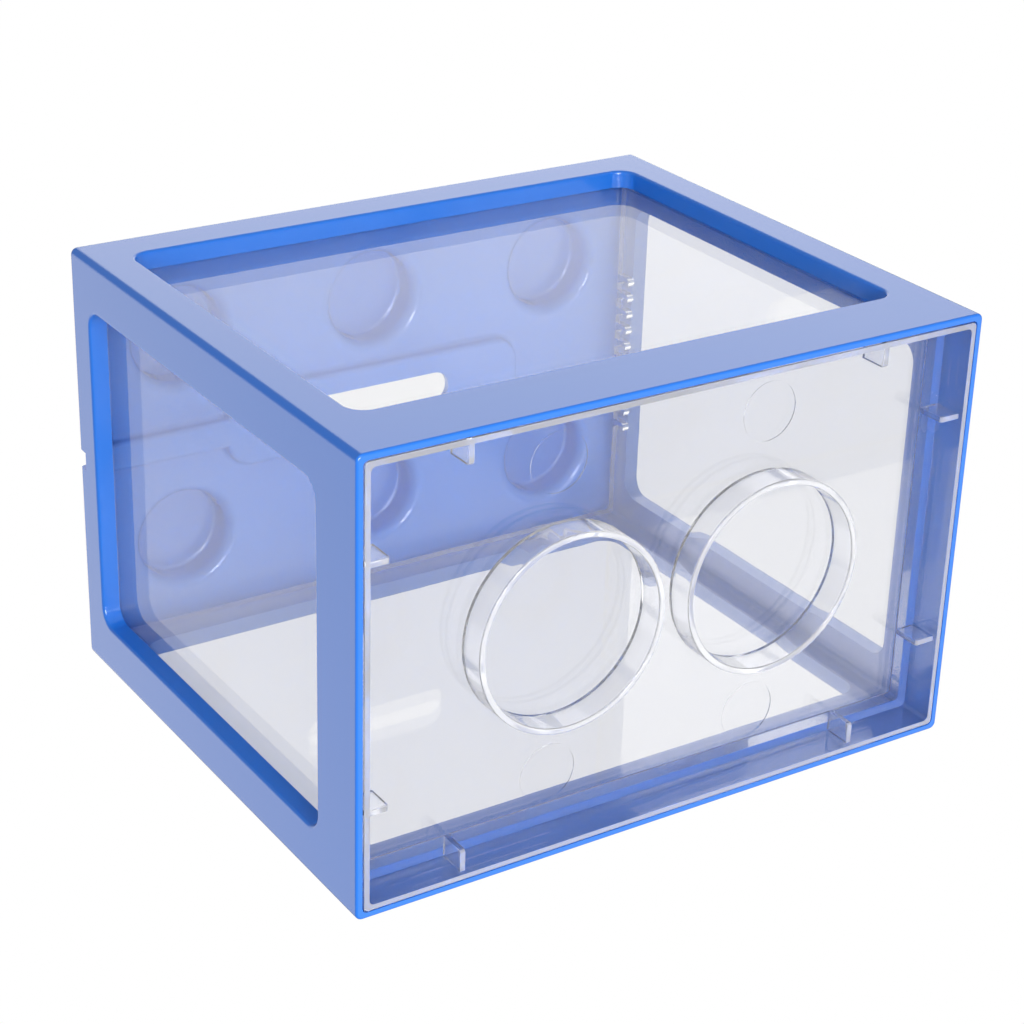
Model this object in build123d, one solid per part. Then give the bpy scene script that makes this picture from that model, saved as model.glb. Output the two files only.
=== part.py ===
from build123d import *
import os

# A clear fish tank inside a blue shell that stacks like a building brick.
# The rim of the underside lies at z = 0 and the studs point up. Sizes are in millimetres.

# Stud grid, seen from above
pitch = 64.0
studs_long = 3
studs_wide = 2

# Outside of the shell, without its studs
shell_length = studs_long * pitch
shell_width = studs_wide * pitch
shell_height = 163.0
shell_foot = 0.2
side_round = 2.0
top_round = 1.6
foot_round = 0.7

# Walls of the shell
frame_wall = 5.3
frame_inner_round = 1.5
cover_wall = 3.0
edge_wall = 1.8

# Windows in the two long sides: widths of the members left round each one
long_window_side = 12.0
long_window_bottom = 22.5
long_window_top = 13.5

# Windows in the two short sides
short_window_side = 15.0
short_window_bottom = 20.5
short_window_top = 11.5
window_corner = 5.5
window_round = 0.9

# Pocket in the cover, with the feed slot in its floor
pocket_length = 98.0
pocket_corner = 7.0
pocket_depth = 4.3
pocket_floor = 2.0
pocket_wall = 1.7
pocket_round = 1.4
pocket_to_stud = 1.1
boss_foot_round = 1.6
slot_length = 50.0
slot_ledge = 4.9

# Groove for an air line, from the pocket out through the left side
groove_width = 5.7
groove_wall = 1.6

# Studs
stud_height = 8.5
stud_wall = 2.4
stud_round = 1.0
stud_mouth_round = 3.3
stud_to_tube = 0.35

# Tank
tank_gap = 0.3
tank_wall = 2.6
tank_outer_round = 2.6
tank_inner_round = 1.6
tank_floor_round = 1.2
floor_under = 10.0
floor_wall = 2.5
rim_gap = 0.4
rim_round = 0.5

# Skirt round the underside, inside the thin edge of the shell
skirt_gap = 0.3
skirt_wall = 1.65
skirt_round = 0.4

# Round sockets that go between the studs of the tank below
tube_radius = 28.3
tube_wall = 1.8
tube_foot = 1.5
tube_round = 0.5

# Small ribs that run in from the skirt
rib_reach = 6.3
rib_wall = 1.5
rib_foot = 1.5
rib_round = 1.0
short_side_rib_place = 34.3

# Round ejector marks under the floor
mark_radius = 8.5
mark_depth = 0.25
mark_x = 33.0
mark_y = 44.8

# Notches in the right side of the rim, opposite the groove
notch_count = 10
notch_pitch = 5.45
notch_width = 3.0
notch_depth = 6.0

# Places worked out from the sizes above
half_length = shell_length / 2
half_width = shell_width / 2
cover_under = shell_height - cover_wall
pocket_under = shell_height - pocket_depth - pocket_floor
floor_top = floor_under + floor_wall
rim_top = pocket_under - rim_gap
tank_inset = frame_wall + tank_gap
skirt_inset = edge_wall + skirt_gap
stud_radius = pitch / 2 ** 0.5 - tube_radius - stud_to_tube
stud_hollow = stud_radius - stud_wall
stud_mouth = stud_hollow + stud_mouth_round
boss_width = pitch - 2 * (stud_mouth + pocket_to_stud + boss_foot_round)
pocket_width = boss_width - 2 * pocket_wall
slot_width = pocket_width - 2 * slot_ledge

# How far a cutter runs past what it cuts, and how close counts as the same place
cut_over = 1.0
near = 0.01


def upright_block(inset, low, high, corner):
    """A block with round upright edges, its sides set in from those of the shell."""
    outline = RectangleRounded(shell_length - 2 * inset, shell_width - 2 * inset, corner)
    return Pos(0, 0, low) * extrude(outline, high - low)


def stud_places():
    """The middles of the studs, row by row."""
    return [
        (pitch * (column - (studs_long - 1) / 2), pitch * (row - (studs_wide - 1) / 2))
        for row in range(studs_wide)
        for column in range(studs_long)
    ]


def tube_places():
    """The middles of the sockets, each in the middle of four studs."""
    return [
        (pitch * (column - (studs_long - 2) / 2), pitch * (row - (studs_wide - 2) / 2))
        for row in range(studs_wide - 1)
        for column in range(studs_long - 1)
    ]


def edges_at(solid, height):
    """The edges that lie flat at a height."""
    return solid.edges().filter_by_position(Axis.Z, height - near, height + near)


def window_cutter(along_x, side, bottom, top):
    """A prism with round corners that cuts one window and the one opposite."""
    across = (shell_length if along_x else shell_width) - 2 * side
    through = (shell_width if along_x else shell_length) + 2 * cut_over
    tall = shell_height - bottom - top
    outline = RectangleRounded(across, tall, window_corner)
    prism = Rot(90, 0, 0) * extrude(outline, through / 2, both=True)
    turn = 0 if along_x else 90
    return Pos(0, 0, bottom + tall / 2) * Rot(0, 0, turn) * prism


def round_window_edges(shell):
    """Breaks the edge of each window on the outside of the shell."""
    for direction in ((0, -1, 0), (0, 1, 0), (-1, 0, 0), (1, 0, 0)):
        reach = half_width if direction[0] == 0 else half_length
        sides = [
            face for face in shell.faces().filter_by(GeomType.PLANE)
            if (face.normal_at() - Vector(*direction)).length < near
            and abs(face.center().dot(Vector(*direction)) - reach) < near
        ]
        side = max(sides, key=lambda face: face.area)
        shell = fillet(side.inner_wires()[0].edges(), window_round)
    return shell


def stud():
    """One solid stud that stands on the cover, at the middle."""
    body = Pos(0, 0, cover_under) * extrude(Circle(stud_radius), cover_wall + stud_height)
    return fillet(edges_at(body, shell_height + stud_height), stud_round)


def stud_hollow_cutter():
    """The hollow of one stud, wider at its mouth under the cover."""
    deep = stud_height + cover_wall - stud_wall
    hollow = Pos(0, 0, cover_under) * extrude(Circle(stud_hollow), deep)
    hollow = fillet(edges_at(hollow, cover_under + deep), stud_round)
    corner = (stud_hollow, cover_under + stud_mouth_round)
    flare = Plane.XZ * make_face(
        Line((0, cover_under), (stud_mouth, cover_under))
        + RadiusArc((stud_mouth, cover_under), corner, stud_mouth_round)
        + Line(corner, (0, corner[1]))
        + Line((0, corner[1]), (0, cover_under))
    )
    return hollow + revolve(flare, Axis.Z)


def pocket_boss():
    """The raised back of the pocket and of the groove, inside the cover."""
    boss_length = pocket_length + 2 * pocket_wall
    outline = RectangleRounded(boss_length, boss_width, pocket_corner + pocket_wall)
    boss = Pos(0, 0, pocket_under) * extrude(outline, cover_under + cover_wall / 2 - pocket_under)
    ridge_width = groove_width + 2 * groove_wall
    ridge_length = half_length - frame_wall / 2
    ridge_height = cover_under + cover_wall / 2 - pocket_under
    ridge = Pos(-ridge_length / 2, 0, pocket_under + ridge_height / 2)
    boss += ridge * Box(ridge_length, ridge_width, ridge_height)
    return fillet(edges_at(boss, pocket_under), pocket_round)


def boss_foot_edges(shell):
    """The edges where the raised back meets the inside of the cover."""
    reach_y = boss_width / 2 + near
    reach_x = half_length - frame_wall + near
    return [
        edge for edge in edges_at(shell, cover_under)
        if edge.bounding_box().max.Y < reach_y and edge.bounding_box().min.Y > -reach_y
        and edge.bounding_box().min.X > -reach_x
    ]


def pocket_cutter():
    """The pocket, the feed slot in its floor and the air-line groove."""
    bottom = shell_height - pocket_depth
    outline = RectangleRounded(pocket_length, pocket_width, pocket_corner)
    pocket = Pos(0, 0, bottom) * extrude(outline, pocket_depth + cut_over)
    pocket = fillet(edges_at(pocket, bottom), pocket_round)
    slot_deep = pocket_floor + 2 * cut_over
    slot_outline = SlotOverall(slot_length, slot_width)
    slot = Pos(0, 0, pocket_under - cut_over) * extrude(slot_outline, slot_deep)
    groove_length = half_length + cut_over
    groove_height = pocket_depth + cut_over
    groove = Pos(-groove_length / 2, 0, bottom + groove_height / 2)
    return pocket + slot + groove * Box(groove_length, groove_width, groove_height)


def blue_shell():
    """The shell: four windowed sides and the studded cover, in one moulding."""
    shell = upright_block(0, shell_foot, shell_height, side_round)
    shell = fillet(edges_at(shell, shell_height), top_round)
    shell = fillet(edges_at(shell, shell_foot), foot_round)
    shell -= upright_block(frame_wall, shell_foot - cut_over, cover_under, frame_inner_round)
    shell -= upright_block(edge_wall, shell_foot - cut_over, floor_top, frame_inner_round)
    shell -= window_cutter(True, long_window_side, long_window_bottom, long_window_top)
    shell -= window_cutter(False, short_window_side, short_window_bottom, short_window_top)
    shell = round_window_edges(shell)
    shell += pocket_boss()
    for x, y in stud_places():
        shell += Pos(x, y, 0) * stud()
    for x, y in stud_places():
        shell -= Pos(x, y, 0) * stud_hollow_cutter()
    shell = fillet(boss_foot_edges(shell), boss_foot_round)
    return shell - pocket_cutter()


def rim_notch():
    """One round-bottomed notch that cuts through a short wall at the rim, at the middle."""
    straight = notch_depth - notch_width / 2 + cut_over
    outline = Pos(0, straight / 2) * Rectangle(notch_width, straight) + Circle(notch_width / 2)
    bottom = rim_top - notch_depth + notch_width / 2
    through = tank_wall + 2 * cut_over
    cutter = Rot(90, 0, 0) * extrude(outline, through / 2, both=True)
    return Pos(0, 0, bottom) * Rot(0, 0, 90) * cutter


def rib(reach_to):
    """One small rib that runs in along X from the skirt's inner face to its free end."""
    start = reach_to - rib_reach
    tall = floor_under - rib_foot
    plate = Pos(start + rib_reach / 2, 0, rib_foot + tall / 2) * Box(rib_reach, rib_wall, tall)
    free_corner = plate.edges().filter_by(Axis.Y).sort_by(Axis.Z)[:2].sort_by(Axis.X)[0]
    return fillet(free_corner, rib_round)


def ribs():
    """The eight ribs: two in from each side."""
    plates = []
    skirt_inner = skirt_inset + skirt_wall
    long_side_reach = half_width - skirt_inner
    short_side_reach = half_length - skirt_inner
    corner_stud = pitch * (studs_long - 1) / 2
    for end in (1, -1):
        for place in (corner_stud, -corner_stud):
            plates.append(Pos(place, 0, 0) * Rot(0, 0, 90 * end) * rib(long_side_reach))
        for place in (short_side_rib_place, -short_side_rib_place):
            turn = 0 if end == 1 else 180
            plates.append(Pos(0, place, 0) * Rot(0, 0, turn) * rib(short_side_reach))
    return plates


def tube():
    """One round socket under the floor, at the middle."""
    ring = Circle(tube_radius) - Circle(tube_radius - tube_wall)
    body = Pos(0, 0, tube_foot) * extrude(ring, floor_under - tube_foot)
    return fillet(edges_at(body, tube_foot), tube_round)


def clear_tank():
    """The tank: walls, floor and everything under it, in one moulding."""
    skirt_corner = max(side_round - skirt_inset, frame_inner_round)
    tank = upright_block(skirt_inset, 0, floor_top, skirt_corner)
    tank = fillet(edges_at(tank, 0), skirt_round)
    tank -= upright_block(skirt_inset + skirt_wall, -cut_over, floor_under, skirt_corner)
    walls = upright_block(tank_inset, floor_under, rim_top, tank_outer_round)
    tank += fillet(edges_at(walls, rim_top), rim_round)
    inside = upright_block(tank_inset + tank_wall, floor_top, rim_top + cut_over, tank_inner_round)
    tank -= fillet(edges_at(inside, floor_top), tank_floor_round)
    for x, y in tube_places():
        tank += Pos(x, y, 0) * tube()
    for plate in ribs():
        tank += plate
    for x in (mark_x, -mark_x):
        for y in (mark_y, -mark_y):
            tank -= Pos(x, y, floor_under) * extrude(Circle(mark_radius), mark_depth)
    notch_x = half_length - tank_inset - tank_wall / 2
    for number in range(notch_count):
        place = notch_pitch * (number - (notch_count - 1) / 2)
        tank -= Pos(notch_x, place, 0) * rim_notch()
    return tank


os.makedirs("parts", exist_ok=True)
for name, make in (("blue_shell", blue_shell), ("clear_tank", clear_tank)):
    piece = make()
    piece.label = name
    export_step(piece, f"parts/{name}.step")
    print(name, round(piece.volume), "cubic mm")
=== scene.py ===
import bpy
import math
from mathutils import Matrix, Vector


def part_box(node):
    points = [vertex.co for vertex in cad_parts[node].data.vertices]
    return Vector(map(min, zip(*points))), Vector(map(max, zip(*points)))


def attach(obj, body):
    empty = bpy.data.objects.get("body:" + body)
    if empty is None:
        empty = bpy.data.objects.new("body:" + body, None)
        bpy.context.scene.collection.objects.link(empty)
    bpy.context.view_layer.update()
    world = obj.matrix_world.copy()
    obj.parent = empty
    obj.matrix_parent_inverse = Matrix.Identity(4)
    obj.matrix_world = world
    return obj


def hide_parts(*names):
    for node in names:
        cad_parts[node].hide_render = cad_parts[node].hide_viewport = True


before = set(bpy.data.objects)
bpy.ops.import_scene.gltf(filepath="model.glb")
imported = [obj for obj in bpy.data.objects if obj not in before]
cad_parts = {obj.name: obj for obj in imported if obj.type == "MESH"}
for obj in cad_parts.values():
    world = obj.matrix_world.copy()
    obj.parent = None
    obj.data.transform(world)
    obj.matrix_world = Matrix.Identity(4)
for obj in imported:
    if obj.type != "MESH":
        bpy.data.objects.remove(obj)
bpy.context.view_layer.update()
print("frame loaded:", sorted(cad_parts))

bpy.ops.object.select_all(action="DESELECT")


def aimed(place, aim, upwards, roll=0.0):
    # the turn that looks from place to aim, with upwards at the top of the view
    away = (Vector(place) - Vector(aim)).normalized()
    right = Vector(upwards).cross(away).normalized()
    up = away.cross(right)
    turned = Matrix((right, up, away)).transposed() @ Matrix.Rotation(math.radians(roll), 3, "Z")
    return turned.to_euler()


# low on the left, looking up at the underside, with the long side at the top of the picture
cameraSet = {
    "place": (-0.3455, -0.2915, -0.443),
    "aim": (-0.00145, 0.0046, 0.07834),
    "upwards": (0, -1, 0),
    "roll": 1.759,
    "lens": 85.73,
    "sensor": 36,
    "clipStart": 0.01,
}


def addCamera():
    c = cameraSet
    turn = aimed(c["place"], c["aim"], c["upwards"], c["roll"])
    bpy.ops.object.camera_add(location=c["place"], rotation=turn)
    camera = bpy.context.object
    camera.name = "camera"
    camera.data.lens = c["lens"]
    camera.data.sensor_width = c["sensor"]
    camera.data.clip_start = c["clipStart"]
    bpy.context.scene.camera = camera


# soft boxes: place, side length, and brightness of the box itself; the first three are mirrored
# towards the camera by the three sides that it sees
lightSet = {
    "glossOnLongSide": {"place": (0.45, -0.387, 0.76), "side": 0.75, "bright": 1.1},
    "glossOnShortSide": {"place": (-0.45, 0.387, 0.76), "side": 0.75, "bright": 0.8},
    "glossOnUnderside": {"place": (0.45, 0.387, -0.6), "side": 0.75, "bright": 0.6},
    "under": {"place": (-0.25, -0.2, -1.0), "side": 0.4, "bright": 24},
}
lightAim = (0, 0, 0.08)
lightUpwards = (0.01, 0.02, 1)


def addLights():
    for name, box in lightSet.items():
        turn = aimed(box["place"], lightAim, lightUpwards)
        bpy.ops.object.light_add(type="AREA", location=box["place"], rotation=turn)
        light = bpy.context.object
        light.name = name
        light.data.shape = "SQUARE"
        light.data.size = box["side"]
        light.data.energy = math.pi * box["bright"] * box["side"] ** 2


worldSet = {
    "colour": (1, 1, 1, 1),
    "seen": 1.0,
    "through": 0.8,  # the white as it shows through the clear plastic
    "gloss": 0.35,
    "ambient": 0.52,
}


def addWorld():
    world = bpy.data.worlds.new("studio")
    bpy.context.scene.world = world
    world.use_nodes = True
    nodes, links = world.node_tree.nodes, world.node_tree.links
    nodes.clear()
    path = nodes.new("ShaderNodeLightPath")
    light = nodes.new("ShaderNodeBackground")
    light.inputs["Color"].default_value = worldSet["colour"]
    light.inputs["Strength"].default_value = worldSet["ambient"]
    whites = {"Is Glossy Ray": "gloss", "Is Transmission Ray": "through", "Is Camera Ray": "seen"}
    for ray, brightness in whites.items():
        white = nodes.new("ShaderNodeBackground")
        white.inputs["Color"].default_value = worldSet["colour"]
        white.inputs["Strength"].default_value = worldSet[brightness]
        mix = nodes.new("ShaderNodeMixShader")
        links.new(path.outputs[ray], mix.inputs["Fac"])
        links.new(light.outputs[0], mix.inputs[1])
        links.new(white.outputs[0], mix.inputs[2])
        light = mix
    out = nodes.new("ShaderNodeOutputWorld")
    links.new(light.outputs[0], out.inputs["Surface"])


# enough for light to cross every pane and rib of the clear tank
bounceSet = {
    "max_bounces": 64,
    "diffuse_bounces": 4,
    "glossy_bounces": 56,
    "transmission_bounces": 40,
    "transparent_max_bounces": 48,
}


def setBounces():
    for kind, most in bounceSet.items():
        setattr(bpy.context.scene.cycles, kind, most)


floorSet = {
    "size": 6.0,
    "below": 0.0006,
    "colour": (0.93, 0.93, 0.94, 1),
    "lift": 0.3,  # a little added white keeps the floor pale without more light on the object
}


def makeFloorWhite():
    material = bpy.data.materials.new("floorWhite")
    material.use_nodes = True
    nodes, links = material.node_tree.nodes, material.node_tree.links
    nodes.clear()
    matt = nodes.new("ShaderNodeBsdfDiffuse")
    matt.inputs["Color"].default_value = floorSet["colour"]
    lift = nodes.new("ShaderNodeEmission")
    lift.inputs["Color"].default_value = floorSet["colour"]
    lift.inputs["Strength"].default_value = floorSet["lift"]
    pale = nodes.new("ShaderNodeAddShader")
    links.new(matt.outputs[0], pale.inputs[0])
    links.new(lift.outputs[0], pale.inputs[1])
    # clear from below, because the camera looks up through it
    sides = nodes.new("ShaderNodeNewGeometry")
    clear = nodes.new("ShaderNodeBsdfTransparent")
    mix = nodes.new("ShaderNodeMixShader")
    links.new(sides.outputs["Backfacing"], mix.inputs["Fac"])
    links.new(pale.outputs[0], mix.inputs[1])
    links.new(clear.outputs[0], mix.inputs[2])
    out = nodes.new("ShaderNodeOutputMaterial")
    links.new(mix.outputs[0], out.inputs["Surface"])
    return material


def addFloor():
    bpy.ops.mesh.primitive_plane_add(size=floorSet["size"], location=(0, 0, -floorSet["below"]))
    floor = bpy.context.object
    floor.name = "floor"
    # it takes the object's shadow, and keeps out of the object's gloss and shade
    floor.visible_diffuse = False
    floor.visible_glossy = False
    floor.visible_transmission = False
    floor.visible_shadow = False
    floor.data.materials.append(makeFloorWhite())


def plasticMaterial(name):
    material = bpy.data.materials.new(name)
    material.use_nodes = True
    nodes, links = material.node_tree.nodes, material.node_tree.links
    return material, nodes, links, nodes["Principled BSDF"]


def addNoise(nodes, links, scale, detail):
    # fixed to the piece, scale in patches per metre
    place = nodes.new("ShaderNodeTexCoord")
    noise = nodes.new("ShaderNodeTexNoise")
    noise.inputs["Scale"].default_value = scale
    noise.inputs["Detail"].default_value = detail
    links.new(place.outputs["Object"], noise.inputs["Vector"])
    return noise.outputs["Fac"]


def addRoughness(nodes, links, noise, spread, rough):
    # the roughness runs through its range as the noise runs through spread
    change = nodes.new("ShaderNodeMapRange")
    change.inputs["From Min"].default_value, change.inputs["From Max"].default_value = spread
    change.inputs["To Min"].default_value, change.inputs["To Max"].default_value = rough
    links.new(noise, change.inputs["Value"])
    links.new(change.outputs["Result"], nodes["Principled BSDF"].inputs["Roughness"])


def addBump(nodes, links, noise, height, strength):
    bump = nodes.new("ShaderNodeBump")
    bump.inputs["Distance"].default_value = height
    bump.inputs["Strength"].default_value = strength
    links.new(noise, bump.inputs["Height"])
    links.new(bump.outputs["Normal"], nodes["Principled BSDF"].inputs["Normal"])


shellPlastic = {
    "blue": (0.014, 0.178, 0.73, 1),
    "deepBlue": (0.012, 0.158, 0.67, 1),
    "patch": 14.0,  # soft changes of colour and gloss
    "patchDetail": 3,
    "spread": (0.0, 1.0),
    "rough": (0.2, 0.3),
    "grain": 1400.0,  # the fine skin of the mould
    "grainDetail": 4,
    "grainHeight": 0.00002,
    "grainStrength": 0.25,
    "bend": 1.5,
    "coat": 0.6,
    "coatRough": 0.12,
}


def makeShellPlastic():
    s = shellPlastic
    material, nodes, links, plastic = plasticMaterial("blueMoulding")
    patches = addNoise(nodes, links, s["patch"], s["patchDetail"])
    colour = nodes.new("ShaderNodeMix")
    colour.data_type = "RGBA"
    colour.inputs["A"].default_value = s["deepBlue"]
    colour.inputs["B"].default_value = s["blue"]
    links.new(patches, colour.inputs["Factor"])
    links.new(colour.outputs["Result"], plastic.inputs["Base Color"])
    addRoughness(nodes, links, patches, s["spread"], s["rough"])
    grain = addNoise(nodes, links, s["grain"], s["grainDetail"])
    addBump(nodes, links, grain, s["grainHeight"], s["grainStrength"])
    plastic.inputs["IOR"].default_value = s["bend"]
    plastic.inputs["Coat Weight"].default_value = s["coat"]
    plastic.inputs["Coat Roughness"].default_value = s["coatRough"]
    return material


tankPlastic = {
    "tint": (0.965, 0.968, 0.985, 1),
    "haze": 22.0,  # patches of faint haze from handling
    "hazeDetail": 5,
    "spread": (0.45, 0.8),
    "wave": 70.0,  # slight unevenness of the moulded faces
    "waveDetail": 2,
    "waveHeight": 0.00025,
    "waveStrength": 0.05,
}

# clearFloor bends light as solid plastic does; clearWall mostly shines, so that the blue beside
# it shows through; the foot finish is whitened partly by wear and partly as a painted highlight
# on the rims
tankFinishes = {
    "clearFloor": {"clear": 0.95, "bend": 1.5, "shine": 0.0, "rough": (0.0, 0.035)},
    "clearWall": {"clear": 0.95, "bend": 1.05, "shine": 0.7, "rough": (0.0, 0.035)},
    # whitened feet: partly wear, partly a painted highlight, a pale veil standing in for glints
    # on the rims
    "clearFootWearAndHighlight": {"clear": 0.72, "bend": 1.5, "shine": 0.0, "rough": (0.15, 0.35)},
}


def makeTankPlastic(name, finish):
    s = tankPlastic
    material, nodes, links, plastic = plasticMaterial(name)
    plastic.inputs["Base Color"].default_value = s["tint"]
    plastic.inputs["Transmission Weight"].default_value = finish["clear"]
    plastic.inputs["IOR"].default_value = finish["bend"]
    plastic.inputs["Coat Weight"].default_value = finish["shine"]
    haze = addNoise(nodes, links, s["haze"], s["hazeDetail"])
    addRoughness(nodes, links, haze, s["spread"], finish["rough"])
    wave = addNoise(nodes, links, s["wave"], s["waveDetail"])
    addBump(nodes, links, wave, s["waveHeight"], s["waveStrength"])
    return material


copySet = {
    "weld": 0.000002,  # corners nearer than this become one
    "smoothUnder": 30,  # degrees
}


def smoothCopy(node, settings):
    # the CAD solid's own shape, its loose triangles joined so that curves shade smoothly
    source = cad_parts[node]
    piece = bpy.data.objects.new(settings["name"], source.data.copy())
    bpy.context.scene.collection.objects.link(piece)
    bpy.ops.object.select_all(action="DESELECT")
    piece.select_set(True)
    bpy.context.view_layer.objects.active = piece
    bpy.ops.object.mode_set(mode="EDIT")
    bpy.ops.mesh.select_all(action="SELECT")
    bpy.ops.mesh.remove_doubles(threshold=copySet["weld"])
    bpy.ops.mesh.customdata_custom_splitnormals_clear()
    bpy.ops.object.mode_set(mode="OBJECT")
    bpy.ops.object.shade_smooth_by_angle(angle=math.radians(copySet["smoothUnder"]))
    # large faces keep their own direction, so that flat sides shade flat up to their roundings
    weights = piece.modifiers.new("flatFaces", "WEIGHTED_NORMAL")
    weights.keep_sharp = True
    bpy.ops.object.modifier_apply(modifier=weights.name)
    piece.data.materials.clear()
    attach(piece, settings["body"])
    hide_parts(node)
    print(piece.name, len(piece.data.polygons), "faces")
    return piece


shellSet = {
    "name": "shellMoulding",
    "body": "shell",
    "slot": "shell",
    "seat": 0.0125,  # height of the step that rests on the tank's floor
    "seatNear": 0.00001,
    "seatGap": 0.00015,  # a breath of air there, so that the step shows blue through the floor
}


def addShell():
    shell = smoothCopy("blue_shell", shellSet)
    shell.data.materials.append(makeShellPlastic())
    for point in shell.data.vertices:
        if abs(point.co.z - shellSet["seat"]) < shellSet["seatNear"]:
            point.co.z += shellSet["seatGap"]


tankSet = {
    "name": "tankMoulding",
    "body": "tank",
    "slot": "tank",
    "footReach": 0.0021,  # the feet of skirt, sockets and ribs end below this height
    "wallReach": 0.0065,  # the walls and the skirt lie within this of the tank's sides
    "wallFacing": 0.7,  # and look this squarely out or in
}


def addTank():
    tank = smoothCopy("clear_tank", tankSet)
    slots = list(tankFinishes)
    for name, finish in tankFinishes.items():
        tank.data.materials.append(makeTankPlastic(name, finish))
    low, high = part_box("clear_tank")
    for face in tank.data.polygons:
        # the feet get the whitened finish, partly wear and partly a painted highlight along their
        # rims
        if face.center.z < tankSet["footReach"]:
            face.material_index = slots.index("clearFootWearAndHighlight")
        for axis in (0, 1):
            reach = min(face.center[axis] - low[axis], high[axis] - face.center[axis])
            if reach < tankSet["wallReach"] and abs(face.normal[axis]) > tankSet["wallFacing"]:
                face.material_index = slots.index("clearWall")


addCamera()
addLights()
addWorld()
setBounces()
addFloor()
print("studio ready")
addShell()
addTank()
print("pieces ready")

view = bpy.context.scene.view_settings
view.view_transform = "Standard"
